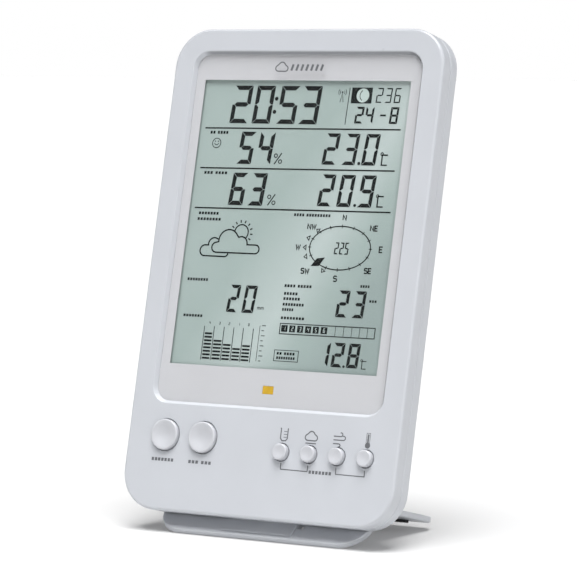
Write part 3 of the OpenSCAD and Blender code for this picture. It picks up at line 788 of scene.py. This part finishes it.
def make_stand():
    """A plate with rounded edges, cut, then bent into lip and foot, with the pad and tongue."""
    r = 0.6
    low = [(r - r * math.sin(a), r - PLATE_Z - r * math.cos(a)) for a in sweep(0, 90, 6)]
    high = [(i, -z) for i, z in reversed(low)]
    piece = add("stand_plate", stack(plate_outline, low + high), flat)
    notch = block(15.6, 18.4, 6.4, 10.4, -2, 2)
    strip_groove = block(-38.3, 38.3, 53.02, 56.22, -2, -0.2)
    combine(piece, "DIFFERENCE", notch, strip_groove, place=flat)
    shape = bmesh.new()
    shape.from_mesh(piece.data)
    for k in range(9):
        s = (BEND_FROM + (BEND_TO - BEND_FROM) * k / 8) * MM
        everything = shape.verts[:] + shape.edges[:] + shape.faces[:]
        bmesh.ops.bisect_plane(shape, geom=everything, plane_co=(0, s, 0), plane_no=(0, 1, 0))
    for vert in shape.verts:
        vert.co = bent(*vert.co)
    shape.to_mesh(piece.data)
    shape.free()
    pad = crosswise(-15.5, 15.5, [(-5, 4.3), (4, 13.3), (4, 14.6), (-5, 5.6)])
    tongue = crosswise(-13.5, 13.5, [(-0.1, 7), (11, 7), (11.7, 7.3), (12, 7.9), (12, 8.7), (11.7, 9.3),
                                     (11, 9.6), (-0.1, 9.6)])
    combine(piece, "UNION", pad, tongue)
    polish(piece, 30)
    settle(piece, "stand", "white_plastic", "table_stand")


# ---------------- printed marks


def slanted(points, x0, h0, slant):
    return [(x0 + x + slant * h, h0 + h) for x, h in points]


def strip(points, width, closed=False):
    """Quads along a line of points, mitred at its corners."""
    count = len(points)
    left, right = [], []
    for i, (x, h) in enumerate(points):
        ways = []
        for a, b in ((i - 1, i), (i, i + 1)):
            if closed or (a >= 0 and b < count):
                (xa, ha), (xb, hb) = points[a % count], points[b % count]
                length = math.hypot(xb - xa, hb - ha) or 1
                ways.append(((xb - xa) / length, (hb - ha) / length))
        dx, dh = sum(w[0] for w in ways), sum(w[1] for w in ways)
        length = math.hypot(dx, dh) or 1
        dx, dh = dx / length, dh / length
        mitre = min(2.0, 1 / max(0.3, dx * ways[0][0] + dh * ways[0][1])) * width / 2
        left.append((x - dh * mitre, h + dx * mitre))
        right.append((x + dh * mitre, h - dx * mitre))
    last = count if closed else count - 1
    return [[left[i], right[i], right[(i + 1) % count], left[(i + 1) % count]] for i in range(last)]


def ring(cx, cy, r, width, start=0, end=360, steps=32):
    if end - start >= 360:
        return strip(circle(cx, cy, r, steps), width, closed=True)
    return strip(arc(cx, cy, r, start, end, steps), width)


def dot(cx, cy, r, steps=20):
    return [circle(cx, cy, r, steps)]


def box(x0, x1, h0, h1):
    return [[(x0, h0), (x1, h0), (x1, h1), (x0, h1)]]


def frame_of(x0, x1, h0, h1, width):
    return strip([(x0, h0), (x1, h0), (x1, h1), (x0, h1)], width, closed=True)


# bars of each figure: a top, b and c right, d bottom, e and f left, g middle
SEGMENTS = {"0": "abcdef", "1": "bc", "2": "abged", "3": "abgcd", "4": "fgbc", "5": "afgcd",
            "6": "afgedc", "8": "abcdefg", "9": "abcdfg"}


def digit(char, x0, h0, w, h, s, slant=0.065, gap=0.12):
    """One seven-segment figure as mitred bars; x0 is the left end of its base."""
    g, m = gap, h / 2
    top = [(g, h), (w - g, h), (w - s - g, h - s), (s + g, h - s)]
    side = [(0, h - g), (s, h - s - g), (s, m + s / 2 + g), (s / 2, m + g), (0, m + g)]
    bars = {
        "a": top, "d": [(x, h - y) for x, y in top],
        "f": side, "e": [(x, h - y) for x, y in side],
        "b": [(w - x, y) for x, y in side], "c": [(w - x, h - y) for x, y in side],
        "g": [(s / 2 + g, m), (s + g, m + s / 2), (w - s - g, m + s / 2), (w - s / 2 - g, m),
              (w - s - g, m - s / 2), (s + g, m - s / 2)],
    }
    return [slanted(bars[name], x0, h0, slant) for name in SEGMENTS[char]]


# strokes of each letter, for a height of 1, and the step to the next letter
LETTERS = {
    "N": [[(0, 0), (0, 1), (0.7, 0), (0.7, 1)]],
    "E": [[(0.62, 0), (0, 0), (0, 1), (0.62, 1)], [(0, 0.5), (0.55, 0.5)]],
    "S": [[(0, 0.12), (0.12, 0), (0.5, 0), (0.65, 0.14), (0.65, 0.38), (0.5, 0.52), (0.12, 0.52),
           (0, 0.64), (0, 0.88), (0.12, 1), (0.5, 1), (0.65, 0.88)]],
    "W": [[(0, 1), (0.22, 0), (0.45, 0.8), (0.68, 0), (0.9, 1)]],
    "C": [[(0.62, 0), (0, 0), (0, 1), (0.62, 1)]],
    "m": [[(0, 0), (0, 0.7)], [(0, 0.55), (0.15, 0.7), (0.35, 0.7), (0.45, 0.55), (0.45, 0)],
          [(0.45, 0.55), (0.6, 0.7), (0.8, 0.7), (0.9, 0.55), (0.9, 0)]],
}
ADVANCE = {"N": 1.0, "E": 0.85, "S": 0.9, "W": 1.15, "C": 0.9, "m": 1.2}
MOON = (25.2, 164.4)  # (x, h) of the moon's disc, and of the wind dial's middle
DIAL = (23.1, 105.2)


def letters(word, cx, cy, height, width):
    """Compass points and unit marks, centred on (cx, cy)."""
    total = sum(ADVANCE[c] for c in word) - 0.25
    x = cx - total * height / 2
    shapes = []
    for c in word:
        for line in LETTERS[c]:
            shapes += strip([(x + px * height, cy - height / 2 + ph * height) for px, ph in line], width)
        x += ADVANCE[c] * height
    return shapes


def percent(x0, h0, height, width):
    w = height * 0.8
    return (strip([(x0 + 0.12 * w, h0), (x0 + 0.95 * w, h0 + height)], width)
            + ring(x0 + 0.22 * w, h0 + height * 0.76, height * 0.16, width * 0.8, steps=12)
            + ring(x0 + 0.85 * w, h0 + height * 0.24, height * 0.16, width * 0.8, steps=12))


def words(x0, x1, h0, h1, *counts):
    """A line of small lettering, reduced to a plain block for each letter of its words."""
    pitch = (x1 - x0) / (sum(counts) + 0.6 * (len(counts) - 1))
    shapes, x = [], x0
    for count in counts:
        for k in range(count):
            shapes += box(x + k * pitch, x + (k + 0.7) * pitch, h0 + (h1 - h0) * 0.12, h0 + (h1 - h0) * 0.88)
        x += (count + 0.6) * pitch
    return shapes


def marks(name, shapes, t0, t1, look):
    """Flat shapes raised from t0 to t1, as one piece of the console in a dark ink's look."""
    piece = add(name, join(*[prism(points, t0, t1) for points in shapes]))
    settle(piece, "console", "black_plastic", look=look)


def cloud(x, h, w):
    """The outline of a small cloud whose base runs from (x, h) over width w."""
    return (arc(x + w * 0.80, h + w * 0.2, w * 0.2, -90, 70, 8)
            + arc(x + w * 0.50, h + w * 0.38, w * 0.27, 20, 150, 8)
            + arc(x + w * 0.22, h + w * 0.22, w * 0.21, 110, 270, 8))


def display_figures():
    """The dark figures, ruled lines, wind dial and forecast picture."""
    shapes = []
    # the clock, its colon, and the ruled lines below each row
    for char, x in zip("2053", (-33.3, -23.1, -12.0, -2.1)):
        shapes += digit(char, x, 152.9, 8.2, 15, 1.75)
    shapes += dot(-13.0, 162.8, 0.8) + dot(-13.3, 157.6, 0.8)
    for h, x0, x1 in ((151.3, -44, 43.3), (135.4, -44.1, 42.8), (119.5, -44.3, 43.2)):
        shapes += strip([(x0, h - 0.45), (x1, h)], 0.55)
    shapes += strip([(18.8, 153), (19.2, 167.4)], 0.3)
    # the day and month
    for char, x in (("2", 22.7), ("4", 27.1), ("8", 37.8)):
        shapes += digit(char, x, 153.5, 3.5, 6.5, 0.85, gap=0.06)
    shapes += box(33.7, 36.2, 156.4, 157.1)
    # humidity inside and outside
    for char, x, h in (("5", -27.8, 136.8), ("4", -19.1, 136.8), ("6", -29.3, 120.5), ("3", -20.4, 120.5)):
        shapes += digit(char, x, h, 6.6, 12.8, 1.7, 0.085)
    shapes += percent(-11.0, 137, 4.4, 0.45) + percent(-11.7, 120.8, 4.4, 0.45)
    # the outside temperature
    for char, x, w in (("2", 10.7, 6), ("0", 19.2, 6.1), ("9", 28.2, 6.2)):
        shapes += digit(char, x, 121.1, w, 12.4, 1.5, 0.09)
    shapes += dot(27.3, 121.8, 0.6) + ring(36.8, 125.6, 0.55, 0.3, steps=16)
    shapes += letters("C", 38.3, 123.5, 4, 0.55)
    # the two readings at the lower right
    for char, x in (("2", 24.5), ("3", 31.6)):
        shapes += digit(char, x, 78.8, 4.9, 10.3, 1.3)
    for char, x in (("1", 18.8), ("2", 25.1), ("8", 31.8)):
        shapes += digit(char, x, 59.8, 4.9, 9.3, 1.3)
    shapes += dot(30.8, 60.2, 0.5) + ring(38.3, 62.9, 0.4, 0.25, steps=14)
    shapes += letters("C", 39.5, 61.2, 2.9, 0.35)
    # the inside temperature
    for char, x, w in (("2", 10.5, 6), ("3", 19.2, 5.9), ("0", 27.9, 6.1)):
        shapes += digit(char, x, 137.3, w, 12.2, 1.4, 0.09)
    shapes += dot(26.9, 138, 0.65) + ring(36.6, 141.8, 0.55, 0.35, steps=16)
    shapes += letters("C", 38.0, 139.5, 3.9, 0.55)
    # the rainfall
    for char, x, w in (("2", -24.1, 4.7), ("0", -17.1, 5.2)):
        shapes += digit(char, x, 78.6, w, 10.7, 1.3, 0.085)
    return shapes + wind_rose() + forecast()


def display_symbols():
    """The finer marks, in a thinner ink than the figures."""
    rain_unit = letters("mm", -8.7, 80.8, 1.3, 0.2)
    return rain_unit + moon_and_mast() + rain_chart() + wind_marks() + labels()


def moon_and_mast():
    """Beside the clock: the radio mast, the moon's dark field and a small figure."""
    x, h = 16.1, 165.6  # the mast's top, between the arcs that leave it on both sides
    shapes = strip([(x - 0.7, 161.7), (x, 165.2), (x + 0.7, 161.7)], 0.25) + dot(x, h, 0.35)
    for r in (1.0, 1.7):
        shapes += ring(x, h, r, 0.22, -40, 40, 8) + ring(x, h, r, 0.22, 140, 220, 8)
    shapes += box(20.2, 29.2, 161.3, 167.5)
    for char, x in zip("236", (31.0, 34.9, 38.8)):
        shapes += digit(char, x, 161.6, 2.7, 5.8, 0.5, gap=0.05)
    return shapes


def labels():
    """The display's small words, as plain blocks, and a smiling face beside the humidity."""
    shapes = ring(-37.9, 144.9, 1.9, 0.3) + ring(-37.9, 145.2, 1.0, 0.28, 200, 340, 8)
    shapes += dot(-38.6, 145.6, 0.25, 10) + dot(-37.2, 145.6, 0.25, 10)
    shapes += frame_of(-0.1, 10.5, 60.8, 65.0, 0.25)
    # left, right, bottom, top and the letters of each word
    for line in ((-41.3, -32.8, 148.4, 149.9, 2, 4), (-41.9, -31.0, 132.4, 133.8, 3, 4),
                 (-42.0, -32.6, 116.3, 117.7, 7), (-42.3, -31.3, 114.0, 115.4, 8),
                 (-43.4, -33.7, 90.1, 91.5, 8), (-43.2, -34.2, 75.9, 77.2, 7),
                 (1.2, 17.6, 116.8, 118.2, 4, 9), (0.8, 13.1, 89.2, 90.6, 4, 5),
                 (34.0, 38.2, 90.3, 91.6, 4), (38.6, 42.0, 84.8, 86.0, 3),
                 (0.9, 11.5, 76.8, 78.1, 8), (1.0, 7.3, 86.2, 87.6, 5),
                 (1.0, 8.6, 84.2, 85.6, 6), (1.0, 10.6, 82.0, 83.4, 8),
                 (1.0, 6.2, 80.0, 81.4, 5), (1.0, 9.2, 63.1, 64.4, 2, 4),
                 (1.0, 9.4, 61.4, 62.7, 8)):
        shapes += words(*line)
    return shapes


def forecast():
    """A sun behind two clouds."""
    front = [(-32.2, 101.7), (-14.3, 101.7)] + arc(-14.3, 103.4, 1.7, -75, 90, 8)
    front += [(-18.3, 105.1)] + arc(-21.1, 105.4, 2.8, 5, 118, 7) + arc(-26.9, 106.4, 4.4, 40, 186, 12)
    front += arc(-32.2, 103.7, 1.95, 90, 262, 8)
    back = [(-31.5, 106.9)] + arc(-33.3, 104.9, 2.5, 60, 190, 8) + arc(-37.2, 102.3, 2.15, 100, 258, 8)
    back += [(-28.0, 100.1)] + arc(-28.0, 101.7, 1.6, -90, -12, 4)
    shapes = strip(front, 0.55, closed=True) + strip(back, 0.55)
    shapes += ring(-21.5, 109.8, 3.1, 0.5, -42, 172, 18)
    for ray in zip(arc(-21.5, 109.6, 4.05, 150, -30, 7), arc(-21.5, 109.6, 5.15, 150, -30, 7)):
        shapes += strip(ray, 0.5)
    return shapes


def rain_chart():
    """Five columns of stacked bars between ruled lines, numbered 4 to 0, and a scale."""
    shapes = []
    for x in (-32.9, -28.4, -23.9, -19.5, -15.2, -10.7):
        shapes += box(x - 0.15, x + 0.15, 59.5, 72.7)
    for x0, x1, count in ((-32.4, -29.0, 8), (-28.0, -24.4, 6), (-23.5, -20.1, 5), (-19.1, -15.7, 4),
                          (-14.8, -11.3, 5)):
        for k in range(count):
            shapes += box(x0, x1, 59.9 + 1.37 * k, 60.65 + 1.37 * k)
    for k, x in enumerate((-30.7, -26.2, -21.8, -17.4, -13.0)):
        shapes += digit(str(4 - k), x - 0.3, 73.5, 0.6, 1.1, 0.18, gap=0.01)
    for k in range(8):
        shapes += box(-7.0, -6.2 + (0.9 if k % 2 else 0.3), 60.2 + 1.95 * k, 60.5 + 1.95 * k)
    shapes += box(-8.0, -7.8, 60.2, 74.0)
    return shapes


def wind_rose():
    """The dial: ring and ticks, the solid pointer, the bearing in figures and the points."""
    (cx, cy), a, b = DIAL, 13.3, 8.4
    ellipse = [(cx + a * x, cy + b * h) for x, h in circle(0, 0, 1)]
    shapes = strip(ellipse, 0.42, closed=True)
    for x, h in circle(0, 0, 1, 16):
        shapes += strip([(cx + (a - 0.7) * x, cy + (b - 0.7) * h),
                         (cx + (a + 0.7) * x, cy + (b + 0.7) * h)], 0.3)
    shapes.append([(11.2, 97.9), (14.8, 98.0), (17.1, 101.4), (13.6, 100.9)])
    for k, char in enumerate("225"):
        shapes += digit(char, 20.7 + 2.2 * k, 102.8, 1.7, 4.6, 0.5, gap=0.04)
    for word, x, h, size in (("N", 23.7, 117.0, 1.9), ("NE", 36.9, 113.2, 1.9), ("E", 40.9, 105.2, 2.1),
                             ("SE", 36.3, 96.9, 1.9), ("S", 22.6, 93.4, 2.0), ("SW", 9.0, 95.9, 1.9),
                             ("W", 4.7, 105.0, 2.0), ("NW", 9.7, 113.1, 1.9)):
        shapes += letters(word, x, h, size, 0.48)
    return shapes


def wind_marks():
    """The open pointers round the dial, the strength scale's box and its cells."""
    shapes = []
    for x, h in ((13.0, 111.5), (9.3, 108.6), (8.2, 105.0), (9.0, 101.6), (17.0, 96.6)):
        dx, dh = x - DIAL[0], h - DIAL[1]
        length = math.hypot(dx, dh)
        dx, dh = dx / length, dh / length
        tip = (x + 1.2 * dx, h + 1.2 * dh)
        shapes += strip([(x - 0.9 * dh, h + 0.9 * dx), tip, (x + 0.9 * dh, h - 0.9 * dx)], 0.35, closed=True)
    shapes += frame_of(1.0, 42.5, 71.3, 75.3, 0.35)
    for x0, x1 in ((1.6, 4.4), (5.2, 7.8), (8.7, 11.3), (12.2, 14.8), (15.6, 18.2), (19.1, 21.9)):
        shapes += box(x0, x1, 72.1, 74.7)
    for x in (25.4, 29.0, 32.5, 35.9, 39.3):
        shapes += box(x - 0.1, x + 0.1, 71.5, 75.1)
    return shapes


def pale_figures():
    """The moon's lit disc, and the figures in the filled cells of the strength scale."""
    shapes = dot(*MOON, 2.75, 40)
    for k, x in enumerate((3.0, 6.5, 10.0, 13.5, 16.9, 20.5)):
        shapes += digit(str(k + 1), x - 0.4, 72.6, 0.8, 1.6, 0.2, gap=0.02)
    return shapes


def face_print():
    """Pictures over the small keys and lines below them; blocks for the words."""
    # a rain gauge
    shapes = strip([(8.6, 35.2), (8.9, 34.9), (8.9, 31.3), (9.6, 30.4), (11.2, 30.4), (11.9, 31.3),
                    (11.9, 35.2)], 0.45)
    for k in range(3):
        shapes += box(10.2, 11.6, 31.6 + 1.1 * k, 31.85 + 1.1 * k)
    # a cloud
    shapes += strip(cloud(19.6, 31.2, 5.4), 0.45, closed=True) + strip([(20.0, 30.2), (24.6, 30.2)], 0.4)
    # three gusts of wind, the lowest curling down
    for k, (x1, r, way) in enumerate(((35.0, 0.7, 1), (36.2, 0.8, 1), (34.4, 0.6, -1))):
        h = 33.6 - 1.4 * k
        shapes += strip([(31.9, h), (x1, h)] + arc(x1, h + way * r, r, -90 * way, 120 * way, 8)[1:], 0.42)
    # a thermometer
    shapes += dot(46.7, 31.0, 1.1) + box(46.35, 47.05, 31.6, 35.2)
    shapes += frame_of(45.95, 47.45, 31.9, 35.6, 0.2)
    # lines that join the small keys in pairs
    shapes += strip([(10.4, 22.0), (10.5, 19.6), (22.2, 19.5), (22.2, 21.8)], 0.38)
    shapes += strip([(34.4, 21.9), (34.5, 19.4), (46.8, 19.3), (46.7, 21.6)], 0.38)
    # words, as plain blocks
    shapes += words(-47.6, -37.3, 18.8, 20.4, 7) + words(-30.8, -20.1, 18.8, 20.4, 3, 3)
    shapes += words(22.9, 33.0, 18.6, 20.2, 7)
    return shapes


def face_badge():
    """Above the window: a small cloud and a row of drops."""
    shapes = strip(cloud(-13.4, 173.0, 5.6), 0.5, closed=True)
    for k in range(7):
        shapes += strip([(-6.2 + 2.2 * k, 173.3), (-5.5 + 2.2 * k, 175.8)], 0.95)
    return shapes


def rear_print():
    """Above the back's keys, plain pictures of what they do."""
    clock, alarm, alert, down, up = (middle(node)[0] for node in REAR_KEYS)
    h = 147.5
    icons = ring(clock, h, 1.5, 0.3) + strip([(clock, h + 0.9), (clock, h), (clock + 0.7, h)], 0.25)
    bell = [(-1.4, -1.0), (-0.9, -0.2), (-0.8, 0.7), (0, 1.4), (0.8, 0.7), (0.9, -0.2), (1.4, -1.0)]
    icons += strip([(alarm + dx, h + dh) for dx, dh in bell], 0.3, closed=True)
    icons += dot(alarm, h - 1.45, 0.3, 10)
    icons += strip([(alert - 1.6, h - 1.2), (alert, h + 1.5), (alert + 1.6, h - 1.2)], 0.3, closed=True)
    icons += box(alert - 0.14, alert + 0.14, h - 0.3, h + 0.6) + dot(alert, h - 0.7, 0.18, 8)
    icons.append([(down - 1.2, h + 0.7), (down, h - 1.0), (down + 1.2, h + 0.7)])
    icons.append([(up - 1.2, h - 0.7), (up + 1.2, h - 0.7), (up, h + 1.0)])
    # a turning arrow's arc for the reset, and a unit mark at each end of the slide
    x, h = middle("reset_key")[:2]
    icons += ring(x, h + 5.0, 1.2, 0.28, -30, 250, 18)
    x, h = middle("unit_switch")[:2]
    for k, side in enumerate((x - 0.4, x + 3.1)):
        icons += ring(side, h + 4.6, 0.55, 0.2, steps=14)
        icons += strip([(side + 0.9, h + 4.0 + 0.4 * k), (side + 1.7, h + 4.0 + 0.4 * k)], 0.2)
    return icons


def make_marks():
    """The display's marks end just short of its glass; printed ones lie in the plastic's skin."""
    moon_edge = ring(MOON[0] + 1.1, MOON[1], 2.35, 0.3, 125, 235, 12)
    marks("display_figures", display_figures(), 2.85, 2.895, "lcd_ink")
    marks("display_symbols", display_symbols(), 2.855, 2.895, "lcd_grey")
    marks("display_pale_figures", pale_figures(), 2.84, 2.855, "lcd_pale")
    marks("display_moon_edge", moon_edge, 2.83, 2.845, "lcd_grey")
    marks("face_print", face_print(), -0.03, 0.02, "print_ink")
    marks("face_badge", face_badge(), -0.03, 0.02, "print_ink")
    marks("rear_print", rear_print(), DEPTH - 0.02, DEPTH, "print_ink")


# ---------------- stage


def add_light(name, kind, place, aim, energy, **more):
    light = bpy.data.lights.new(name, kind)
    light.energy = energy
    for key, value in more.items():
        setattr(light, key, value)
    lamp = bpy.data.objects.new(name, light)
    lamp.location = place
    lamp.rotation_euler = (Vector(aim) - Vector(place)).to_track_quat("-Z", "Y").to_euler()
    scene.collection.objects.link(lamp)


# heights on the unit sphere and the brightness there
SKY = ((0.03, 1.0), (0.15, 0.14))


def make_world():
    """A pale studio: white up to the horizon, dim overhead."""
    world = bpy.data.worlds.new("world")
    scene.world = world
    world.use_nodes = True
    tree = world.node_tree
    place = tree.nodes.new("ShaderNodeTexCoord")
    split = tree.nodes.new("ShaderNodeSeparateXYZ")
    ramp = tree.nodes.new("ShaderNodeValToRGB")
    for element, (position, bright) in zip(ramp.color_ramp.elements, SKY):
        element.position = position
        element.color = (bright, bright, bright, 1)
    tree.links.new(place.outputs["Generated"], split.inputs["Vector"])
    tree.links.new(split.outputs["Z"], ramp.inputs["Fac"])
    tree.links.new(ramp.outputs["Color"], tree.nodes["Background"].inputs["Color"])


def make_stage():
    """A wide white floor under a broad overhead light, with a tall strip light at the right."""
    look = Shader("floor", (0.64, 0.64, 0.64), 0.6, Emission_Color=(1, 1, 1, 1),
                  Emission_Strength=0.12)
    look.roughness(look.spread(look.noise(30), 0.55, 0.65))
    mesh = bpy.data.meshes.new("floor")
    far = 14.0  # metres
    mesh.from_pydata([(-far, -far, 0), (far, -far, 0), (far, far, 0), (-far, far, 0)], [], [(0, 1, 2, 3)])
    mesh.materials.append(look.material)
    floor = bpy.data.objects.new("floor", mesh)
    scene.collection.objects.link(floor)
    make_world()
    aim = at(0, 90, 0)
    add_light("overhead", "SUN", aim + Vector((0.10, -0.22, 0.97)), aim, 4.85, angle=math.radians(42))
    add_light("strip", "AREA", aim + Vector((1.02, -0.56, 0.25)), aim, 2.1,
              shape="RECTANGLE", size=0.08, size_y=0.9)
    scene.view_settings.view_transform = "Standard"
    scene.view_settings.look = "None"


dress_nodes()
make_front_shell()
make_window_slope()
make_window_pane()
make_back_shell()
make_keys()
make_stand()
make_marks()
make_stage()
add_camera()
